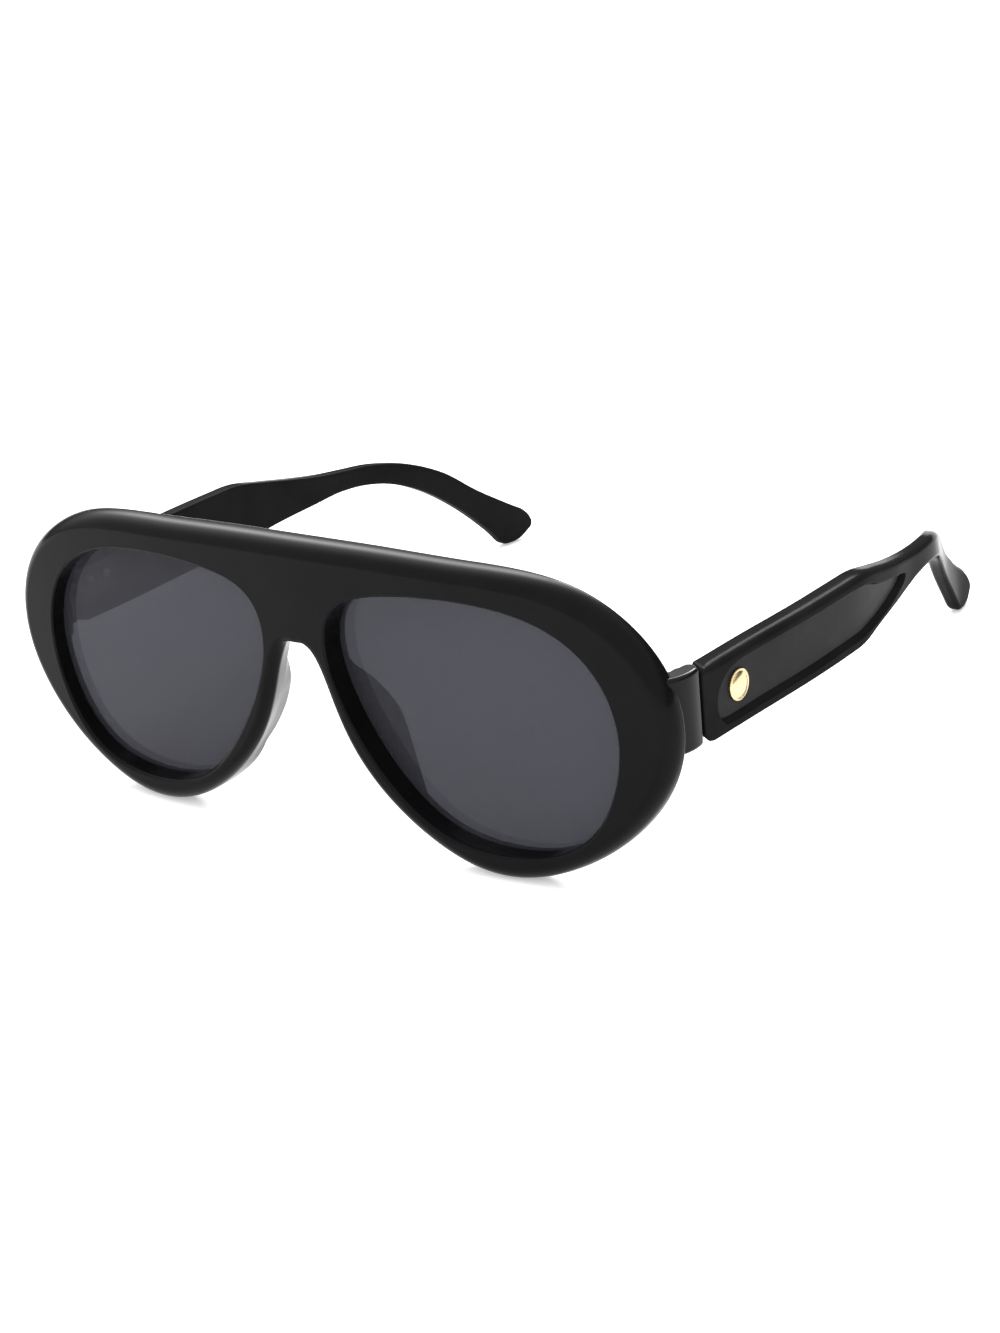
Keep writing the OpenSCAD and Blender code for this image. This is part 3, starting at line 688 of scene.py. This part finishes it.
def stud_piece():
    S = Shell()
    at = np.array([[26.8, 32.2]])
    n = arm_normal(at, True)[0]
    base = np.array([arm_x(at, PANEL_D)[0], 26.8, 32.2])
    u = np.cross(n, [0, 0, 1.0])
    u /= np.linalg.norm(u)
    v = np.cross(n, u)
    prof = [(2.74, -0.05), (2.78, 0.0), (2.8, 0.08), (2.8, 0.3), (2.77, 0.4), (2.7, 0.46), (2.6, 0.48), (2.5, 0.46), (2.43, 0.41), (2.38, 0.4),
            (2.3, 0.44), (2.2, 0.52), (2.0, 0.63), (1.7, 0.75), (1.3, 0.86), (0.9, 0.93), (0.5, 0.97), (0.2, 0.985), (0.02, 0.99)]
    m = 96
    t = np.linspace(0, 2 * math.pi, m, endpoint=False)[:, None]
    ring = np.cos(t) * u + np.sin(t) * v
    P = np.stack([base + rr * ring + hh * n for rr, hh in prof], 1)
    out = np.broadcast_to((ring + n)[:, None], P.shape)
    S.stack(P, out)
    return S


arm, stud = arm_piece(), stud_piece()
for name, side in (("left", 1), ("right", -1)):
    o = (arm if side > 0 else arm.mirrored()).make("arm_" + name + "_shaped", black_arm, recess_lit_mat)
    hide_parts("temple_" + name)
    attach(o, name + "_arm")
    o = (stud if side > 0 else stud.mirrored()).make("stud_" + name + "_domed", gold_mat)
    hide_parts("side_stud_" + name)
    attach(o, name + "_arm")


# ---------------------------------------------------------------- hinge parts from the frame
def repaint(node, material, bevel=0.0):
    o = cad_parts[node]
    if not o.material_slots:
        o.data.materials.append(material)
    for s in o.material_slots:
        s.link = "OBJECT"
        s.material = material
    if bevel:
        b = o.modifiers.new("edges", "BEVEL")
        b.width = bevel
        b.segments = 2
        b.limit_method = "ANGLE"
        b.angle_limit = math.radians(50)


for name in ("left", "right"):
    repaint("front_hinge_" + name, hinge_mat, 0.00008)
    repaint("temple_hinge_" + name, hinge_mat, 0.00008)
    repaint("front_hinge_rivets_" + name, rivet_mat)
    repaint("temple_hinge_rivets_" + name, rivet_mat)
    repaint("hinge_screw_" + name, screw_mat, 0.00006)
    repaint("temple_core_" + name, core_mat)

# ---------------------------------------------------------------- floor, light, camera
floor_mesh = bpy.data.meshes.new("floor_sheet")
R = 6.0
floor_mesh.from_pydata([(-R, -R, 0), (R, -R, 0), (R, R, 0), (-R, R, 0)], [], [(0, 1, 2, 3)])
floor = bpy.data.objects.new("floor_sheet", floor_mesh)
bpy.context.scene.collection.objects.link(floor)
fm, fnt, fb = new_material("floor_paper")
fv = coords(fnt)
fnt.links.new(ramp(fnt, noise(fnt, fv, 9, 3, 0.5), (0.90, 0.90, 0.90), (0.915, 0.915, 0.912)), fb.inputs["Base Color"])
fb.inputs["Roughness"].default_value = 0.9
fb.inputs["Specular IOR Level"].default_value = 0.1
fb.inputs["Emission Color"].default_value = (1, 1, 1, 1)
fb.inputs["Emission Strength"].default_value = 0.35
floor.data.materials.append(fm)

scene = bpy.context.scene
world = bpy.data.worlds.new("studio")
scene.world = world
world.use_nodes = True
wnt = world.node_tree
bg = wnt.nodes["Background"]
wtc = wnt.nodes.new("ShaderNodeTexCoord")
wdot = wnt.nodes.new("ShaderNodeVectorMath")
wdot.operation = "DOT_PRODUCT"
wdot.inputs[1].default_value = (0, -0.5, 1)
wnt.links.new(wtc.outputs["Generated"], wdot.inputs[0])
wr = wnt.nodes.new("ShaderNodeValToRGB")
wr.color_ramp.elements[0].position = 0.02
wr.color_ramp.elements[0].color = (0.1, 0.1, 0.1, 1)
wr.color_ramp.elements[1].position = 0.34
wr.color_ramp.elements[1].color = (1.0, 1.0, 1.0, 1)
wnt.links.new(wdot.outputs["Value"], wr.inputs["Fac"])


def wmath(operation, a, b):
    n = wnt.nodes.new("ShaderNodeMath")
    n.operation = operation
    for socket, value in zip(n.inputs, (a, b)):
        if isinstance(value, (int, float)):
            socket.default_value = value
        else:
            wnt.links.new(value, socket)
    return n.outputs[0]


def glow(azimuth, elevation, power, strength):
    """A soft round patch of light in the studio's dome."""
    a, e = math.radians(azimuth), math.radians(elevation)
    d = wnt.nodes.new("ShaderNodeVectorMath")
    d.operation = "DOT_PRODUCT"
    d.inputs[1].default_value = (math.cos(e) * math.cos(a), math.cos(e) * math.sin(a), math.sin(e))
    wnt.links.new(wtc.outputs["Generated"], d.inputs[0])
    return wmath("MULTIPLY", wmath("POWER", wmath("MAXIMUM", d.outputs["Value"], 0.0), power), strength)


total = wmath("MULTIPLY", wr.outputs["Color"], 1.5)
for patch in (glow(139, 28, 90, 6.5), glow(124, 36, 70, 10), glow(141, 44, 14, 2.0),
              glow(104, 35, 90, 7)):
    total = wmath("ADD", total, patch)
bg.inputs["Color"].default_value = (1, 1, 1, 1)
wnt.links.new(total, bg.inputs["Strength"])


def softbox(name, at, aim, size, power, tint=(1, 1, 1)):
    data = bpy.data.lights.new(name, "AREA")
    data.shape = "RECTANGLE"
    data.size, data.size_y = size
    data.energy = power
    data.color = tint
    o = bpy.data.objects.new(name, data)
    o.location = at
    o.rotation_euler = (Vector(aim) - Vector(at)).to_track_quat("-Z", "Y").to_euler()
    scene.collection.objects.link(o)
    return o


def from_sky(azimuth, elevation, distance):
    a, e = math.radians(azimuth), math.radians(elevation)
    return (distance * math.cos(e) * math.cos(a), distance * math.cos(e) * math.sin(a), distance * math.sin(e))


overhead = softbox("overhead", (0, -0.05, 4), (0, -0.05, 0), (4, 4), 30)
overhead.visible_glossy = False
softbox("rim_rear", from_sky(105, 33, 1.3), (0, 0, 0.04), (0.36, 0.2), 5.0)

cam_data = bpy.data.cameras.new("camera")
cam = bpy.data.objects.new("camera", cam_data)
scene.collection.objects.link(cam)
C_F = (301.239, -324.802, 194.462)
RIGHT, UP, BACK = (0.79504, 0.60001, -0.08886), (-0.12864, 0.30996, 0.94201), (0.59276, -0.73751, 0.32361)
place = to_row(C_F)
r_, u_, b_ = turn(RIGHT), turn(UP), turn(BACK)
cam.matrix_world = Matrix(((r_[0], u_[0], b_[0], place[0]), (r_[1], u_[1], b_[1], place[1]), (r_[2], u_[2], b_[2], place[2]), (0, 0, 0, 1)))
cam_data.sensor_width = 36.0
cam_data.lens = 2702.64 * 36.0 / 1333.0
cam_data.shift_x = (500 - 468.92) / 1333.0
cam_data.shift_y = -(666.5 - 595.78) / 1333.0
cam_data.clip_start = 0.01
scene.camera = cam

scene.view_settings.view_transform = "Standard"
scene.view_settings.look = "None"
scene.view_settings.exposure = 0.0
